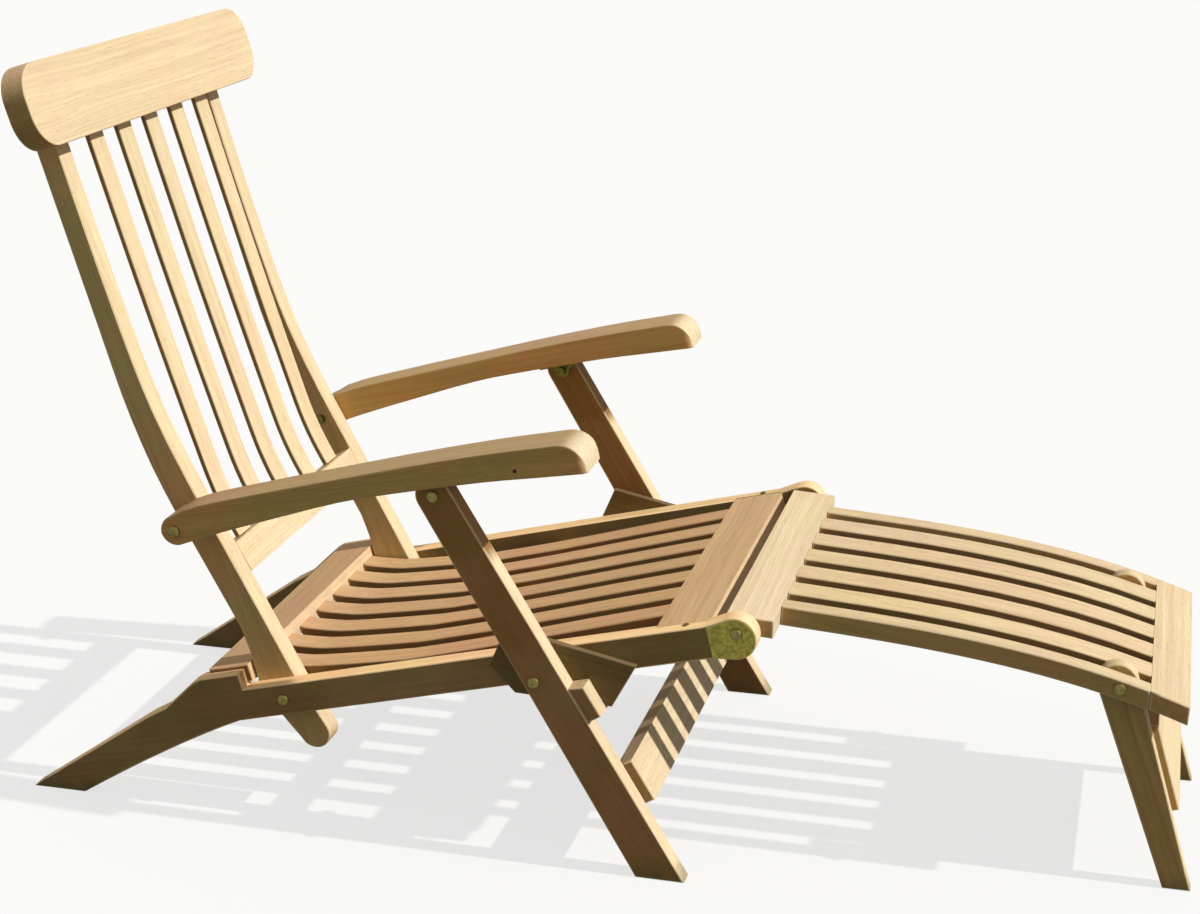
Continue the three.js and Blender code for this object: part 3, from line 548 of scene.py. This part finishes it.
def plug_group():
    """A round spot on the outer side of an arm."""
    tree, n, takes, gives = new_group(
        "arm_plug", {"Place": "Vector", "Facing": "Vector"}, ("Mask",)
    )
    side_view = n.vector("MULTIPLY", takes["Place"], (1.0, 0.0, 1.0))
    near = n.math("LESS_THAN", n.vector("DISTANCE", side_view, plug_place), plug_radius)
    outward = n.math("MULTIPLY", n.parts(takes["Place"])["Y"], n.parts(takes["Facing"])["Y"])
    outer = n.math("GREATER_THAN", outward, plug_outward)
    n.join(n.math("MULTIPLY", near, outer), gives["Mask"])
    return tree


def mottle_group():
    """Slow drift between the warm and the olive side of weathered teak."""
    tree, n, takes, gives = new_group("weather_mottle", {"Place": "Vector"}, ("Mask",))
    broad = n.noise(takes["Place"], scale=5.5, detail=2.0)
    fine = n.noise(takes["Place"], scale=27.0, detail=3.0, rough=0.6)
    broad = n.math("MULTIPLY", broad, broad_mottle_share)
    both = n.math("MULTIPLY_ADD", fine, fine_mottle_share, broad)
    n.join(n.ramp(both, low=0.38, high=0.62), gives["Mask"])
    return tree


# The effects that the materials share
effects = {
    "grain": grain_group(),
    "bleach": bleach_and_light_group(),
    "soil": foot_darkening_group(),
    "plug": plug_group(),
    "mottle": mottle_group(),
}


def row_for(node, table):
    """What a table says of a node: its first row that the node's name starts with."""
    for start, row in table.items():
        if node.startswith(start):
            return row
    raise KeyError(node)


def middle_of(node):
    low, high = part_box(node)
    return (low + high) / 2.0


def grain_turn(node, dice):
    """The turn that brings a board's length to X, a little off as sawn boards are."""
    stray = math.radians(dice.uniform(-stray_along, stray_along))
    if not any(word in node for word in crosswise):
        return Euler((0.0, math.radians(row_for(node, grain_angles)) + stray, 0.0))
    stray = math.radians(dice.uniform(-stray_along, stray_along))
    across = math.radians(-90.0 + dice.uniform(-stray_across, stray_across))
    return Euler((0.0, stray, across))


def log_place(node, turn, dice):
    """Where in the log a board was cut, as the move that brings it there after its turn."""
    pith_angle = dice.uniform(0.0, 2.0 * math.pi)
    pith_distance = dice.uniform(*pith_distances)
    place = Vector(
        (
            dice.uniform(0.0, log_length),
            math.cos(pith_angle) * pith_distance,
            math.sin(pith_angle) * pith_distance,
        )
    )
    return place - turn.to_matrix() @ middle_of(node)


def board_colours(node, dice):
    """Weathered teak in painted shade, and bleached teak in painted light, as one board shows it,
    with a tone of its own.
    """
    lightness = dice.uniform(*lightnesses)
    warmth = dice.uniform(*warmths)

    def toned(colours, shares):
        found = {}
        for name, (red, green, blue) in colours.items():
            warmed = (red * (1.0 + warmth), green, blue * (1.0 - warmth))
            found[name] = tuple(lightness * share * part for share, part in zip(shares, warmed))
        return found

    weathered_and_shaded_shares, bleached_and_lit_shares = row_for(node, tint_shares)
    return toned(weathered_and_shaded_teak, weathered_and_shaded_shares), toned(bleached_and_lit_teak, bleached_and_lit_shares)


def teak(node, seed):
    """Teak for one board, with weathering, wear, darker feet, and painted light and shade of its
    place on the chair.
    """
    dice = random.Random(seed)
    turn = grain_turn(node, dice)
    material, n, shader = new_material(node + "_teak")
    spot = n.add("TexCoord").outputs
    place = spot["Object"]
    facing = spot["Normal"]
    figure = n.mapped(place, log_place(node, turn, dice), turn)
    grain = n.use("grain", Vector=figure, Ring_Width=dice.uniform(*ring_widths))
    bleach = n.use("bleach", Place=place, Facing=facing)
    soil = n.use("soil", Place=place)["Mask"]
    mottle = n.use("mottle", Place=figure)["Mask"]
    weathered_and_shaded, bleached_and_lit = board_colours(node, dice)

    # Pale: bleached teak, painted as the lit faces
    pale = n.mix(grain["Tone"], bleached_and_lit["straw"], bleached_and_lit["honey"])
    pale = n.over(pale, bleached_and_lit["olive"], mottle, share=0.7)
    pale = n.over(pale, bleached_and_lit["ring"], grain["Rings"], share=0.4)
    # Painted sunlight: cream where a face looks straight at the sun lamp
    pale = n.over(pale, painted_sun_cream, bleach["Sunward"], share=row_for(node, painted_sun_shares))
    # Brown: weathered teak, painted as the shaded faces
    brown = n.mix(mottle, weathered_and_shaded["warm"], weathered_and_shaded["olive"])
    brown = n.over(brown, weathered_and_shaded["ring"], grain["Rings"], share=0.5)
    bleach_and_light_mask = bleach["Mask"]
    # Painted shadow of the arms on the tops of the front legs
    if node.startswith("front_leg"):
        painted_arm_shadow = n.ramp(n.parts(place)["Z"], low=arm_shadow_low, high=arm_shadow_high)
        bleach_and_light_mask = n.math("MULTIPLY", bleach_and_light_mask, n.math("SUBTRACT", 1.0, painted_arm_shadow))
    # Painted light and shade: pale where the light falls, brown where it doesn't
    colour = n.mix(bleach_and_light_mask, brown, pale)
    fibres = n.mix(grain["Fibre"], between_fibres, on_fibres)
    colour = n.mix(1.0, colour, fibres, blend="MULTIPLY")
    colour = n.over(colour, weathered_and_shaded["pore"], grain["Pores"], share=row_for(node, pore_shares))
    edge = n.add("Attribute", attribute_name=wear_layer).outputs["Fac"]
    rubbed = n.math("MULTIPLY", edge, n.ramp(mottle, low=-0.6, high=0.9))
    colour = n.over(colour, bleached_and_lit["rubbed"], rubbed, share=0.55)
    # Darker towards the ground
    colour = n.over(colour, foot_darkening_colour, soil, share=0.6)
    if node.startswith("armrest"):
        plug = n.use("plug", Place=place, Facing=facing)["Mask"]
        colour = n.mix(plug, colour, plug_colour)
    n.join(colour, shader.inputs["Base Color"])

    rough = n.math("MULTIPLY_ADD", grain["Rings"], ring_roughness, teak_roughness)
    rough = n.math("MULTIPLY_ADD", grain["Fibre"], fibre_roughness, rough)
    rough = n.math("MULTIPLY_ADD", soil, foot_darkening_roughness, rough)
    n.join(rough, shader.inputs["Roughness"])
    shader.inputs["Specular IOR Level"].default_value = teak_specular
    n.join(n.bump(grain["Height"], grain_strength, grain_depth), shader.inputs["Normal"])
    return material


def brass(node, seed):
    """Brass that the weather has dulled, brighter where it is rubbed."""
    brightness = row_for(node, brass_brightness)

    def dulled(colour):
        return tuple(part * brightness for part in colour)

    material, n, shader = new_material(node + "_brass")
    start = tuple(seed * step for step in stain_steps)
    place = n.mapped(n.add("TexCoord").outputs["Object"], start)
    stain = n.noise(place, scale=170.0, detail=5.0, rough=0.65)
    stain = n.ramp(stain, low=0.36, high=0.68)
    cloud = n.ramp(n.noise(place, scale=40.0, detail=3.0), low=0.35, high=0.7)
    edge = n.add("Attribute", attribute_name=wear_layer).outputs["Fac"]
    colour = n.mix(stain, dulled(clean_brass), dulled(stained_brass))
    colour = n.over(colour, dulled(clouded_brass), cloud, share=0.4)
    colour = n.over(colour, dulled(rubbed_brass), edge, share=0.5)
    n.join(colour, shader.inputs["Base Color"])
    shader.inputs["Metallic"].default_value = 1.0
    rough = n.math("MULTIPLY_ADD", stain, stain_roughness, brass_roughness)
    n.join(rough, shader.inputs["Roughness"])
    n.join(n.bump(stain, stain_strength, stain_depth), shader.inputs["Normal"])
    return material


def body_of(node):
    for body, members in frame["record"]["behaviour"]["bodies"].items():
        if node in members:
            return body
    raise KeyError(node)


def new_piece(node, ending, shape, material):
    """Writes a shape to the piece that stands for a node, with its flat faces kept flat."""
    name = node + ending
    piece = bpy.data.objects.new(name, bpy.data.meshes.new(name))
    shape.normal_update()
    shape.to_mesh(piece.data)
    shape.free()
    piece.data.materials.append(material)
    piece.data.shade_smooth()
    piece.data.set_sharp_from_angle(angle=smooth_angle)
    weight = piece.modifiers.new("flat_faces", "WEIGHTED_NORMAL")
    weight.keep_sharp = True
    weight.weight = flat_face_weight
    bpy.context.scene.collection.objects.link(piece)
    body = body_of(node)
    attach(piece, body)
    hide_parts(node)


def copy_of(node):
    """A node's solid, with its loose triangles merged into whole faces."""
    shape = bmesh.new()
    shape.from_mesh(frame["nodes"][node].data)
    bmesh.ops.remove_doubles(shape, verts=shape.verts[:], dist=merge_distance)
    bmesh.ops.dissolve_limit(
        shape, angle_limit=flat_angle, verts=shape.verts[:], edges=shape.edges[:]
    )
    return shape


def round_over(shape, edges, radius, mark):
    """Rounds edges over, and marks the new faces as worn."""
    made = bmesh.ops.bevel(
        shape,
        geom=edges,
        offset=radius,
        segments=2,
        profile=0.5,
        affect="EDGES",
        material=-1,
        clamp_overlap=True,
    )
    for face in made["faces"]:
        face[mark] = 1.0


def cut_across(shape, low, high, pieces):
    """Level cuts through a shape between two heights, so that it can be curved there."""
    for step in range(pieces + 1):
        bmesh.ops.bisect_plane(
            shape,
            geom=shape.verts[:] + shape.edges[:] + shape.faces[:],
            dist=cut_distance,
            plane_co=(0.0, 0.0, low + (high - low) * step / pieces),
            plane_no=(0.0, 0.0, 1.0),
        )
    shape.normal_update()


def humped(share):
    """Nought at both ends and one in the middle."""
    return math.sin(math.pi * min(max(share, 0.0), 1.0))


def slim_slat(shape, node):
    """The back's slats: narrower, thinner and further apart, and bowed back halfway up."""
    low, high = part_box(node)
    cut_across(shape, low.z + slat_straight_end, high.z - slat_straight_end, slat_cuts)
    middle = (low.y + high.y) / 2.0
    for vert in shape.verts:
        if vert.normal.x > 0.0:
            vert.co.x -= slat_thinning
        vert.co.x -= slat_bow * humped((vert.co.z - low.z) / (high.z - low.z))
        vert.co.y = middle * slat_spread + (vert.co.y - middle) * slat_narrowing


def flatten_dish(shape, node):
    """The seat's slats: a little narrower, and nearly level where they leave the rear board."""
    low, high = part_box(node)
    middle = (low.y + high.y) / 2.0
    for vert in shape.verts:
        vert.co.z += seat_lift * humped((vert.co.x - low.x) / seat_lift_reach)
        vert.co.y = middle + (vert.co.y - middle) * seat_slat_narrowing


def slim_stile(shape):
    """The back's stiles: slimmer between the arm and the headrest, and behind up to their tops."""
    cut_across(shape, stile_waist_low, stile_waist_high, stile_cuts)
    reach = stile_waist_high - stile_waist_low
    for vert in shape.verts:
        share = (vert.co.z - stile_waist_low) / reach
        if vert.normal.x > 0.0:
            vert.co.x -= stile_front_waist * humped(share)
        else:
            vert.co.x += stile_back_waist * humped(min(share, 0.5))


def dress_board(node, material):
    """A copy of a board of the frame, with its eased edges rounded over and marked as worn."""
    shape = copy_of(node)
    if node.startswith("back_slat"):
        slim_slat(shape, node)
    if node.startswith("seat_slat"):
        flatten_dish(shape, node)
    if node.startswith("back_stile"):
        slim_stile(shape)
    mark = shape.faces.layers.float.new(wear_layer)
    low, high = eased_angles
    chosen = [
        edge
        for edge in shape.edges
        if len(edge.link_faces) == 2 and low < edge.calc_face_angle() < high
    ]
    for edge in chosen:
        for face in edge.link_faces:
            if face.calc_area() < eased_width * edge.calc_length() * eased_allowance:
                face[mark] = 1.0
    round_over(shape, chosen, wood_round_over, mark)
    new_piece(node, "_wood", shape, material)


def dress_metal(node, material):
    """A copy of a bracket, plate or screw of the frame, with its sharp edges rounded over."""
    shape = copy_of(node)
    mark = shape.faces.layers.float.new(wear_layer)
    chosen = [
        edge
        for edge in shape.edges
        if len(edge.link_faces) == 2 and edge.calc_face_angle() > metal_sharp_angle
    ]
    round_over(shape, chosen, metal_round_over, mark)
    new_piece(node, "_metal", shape, material)


def bolt_profile(head_radius, grip, tail):
    """Radius and height down one side of a bolt, whose head bears at height 0.

    The grip is the length of shank to the washer, and the tail is what the washer and nut take up.
    """
    angles = [step * math.pi / (2.0 * dome_steps) for step in range(dome_steps + 1)]
    profile = [
        (head_radius * math.sin(angle), head_edge + (head_height - head_edge) * math.cos(angle))
        for angle in angles
    ]
    profile += [(head_radius, 0.0), (shank_radius, 0.0), (shank_radius, -grip)]
    if tail:
        profile += [
            (washer_radius, -grip),
            (washer_radius, -grip - washer_height),
            (shank_radius, -grip - washer_height),
            (shank_radius, -grip - tail + shank_shortness),
        ]
    profile.append((0.0, profile[-1][1]))
    return profile


def spin_profile(shape, profile):
    """Turns a profile of (radius, height) about Z into a closed solid."""
    line = [shape.verts.new((radius, 0.0, height)) for radius, height in profile]
    edges = [shape.edges.new(pair) for pair in zip(line, line[1:])]
    bmesh.ops.spin(
        shape,
        geom=line + edges,
        cent=(0.0, 0.0, 0.0),
        axis=(0.0, 0.0, 1.0),
        angle=2.0 * math.pi,
        steps=bolt_sides,
        use_merge=True,
        use_duplicate=False,
    )
    bmesh.ops.remove_doubles(shape, verts=shape.verts[:], dist=merge_distance)


def dress_bolt(node, material):
    """A bolt with a smooth domed head, and a washer and a six-sided nut where it has them."""
    low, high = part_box(node)
    head_radius = (high.x - low.x) / 2.0
    with_nut = not any(word in node for word in without_nut)
    tail = washer_height + nut_height if with_nut else 0.0
    grip = high.y - low.y - head_height - tail
    shape = bmesh.new()
    mark = shape.faces.layers.float.new(wear_layer)
    spin_profile(shape, bolt_profile(head_radius, grip, tail))
    if with_nut:
        nut_middle = -grip - washer_height - nut_height / 2.0
        bmesh.ops.create_cone(
            shape,
            cap_ends=True,
            segments=6,
            radius1=nut_radius,
            radius2=nut_radius,
            depth=nut_height,
            matrix=Matrix.Translation((0.0, 0.0, nut_middle)),
        )
    bmesh.ops.recalc_face_normals(shape, faces=shape.faces[:])
    for face in shape.faces:
        if face.calc_center_median().z > head_edge:
            face[mark] = head_wear
    outward = 1.0 if low.y + high.y > 0.0 else -1.0
    bearing = (high.y if outward > 0.0 else low.y) - outward * head_height
    centre = middle_of(node)
    place = Matrix.Translation((centre.x, bearing, centre.z))
    turn = Matrix.Rotation(-outward * math.pi / 2.0, 4, "X")
    bmesh.ops.transform(shape, matrix=place @ turn, verts=shape.verts[:])
    new_piece(node, "_metal", shape, material)


def dress_all():
    """Gives every node its dressed piece. The nodes' order by name gives their seeds."""
    for seed, node in enumerate(sorted(frame["nodes"])):
        if "bolt" in node:
            dress_bolt(node, brass(node, seed))
        elif any(word in node for word in other_brass):
            dress_metal(node, brass(node, seed))
        else:
            dress_board(node, teak(node, seed))


camera_setup()
light_setup()
floor_setup()
dress_all()
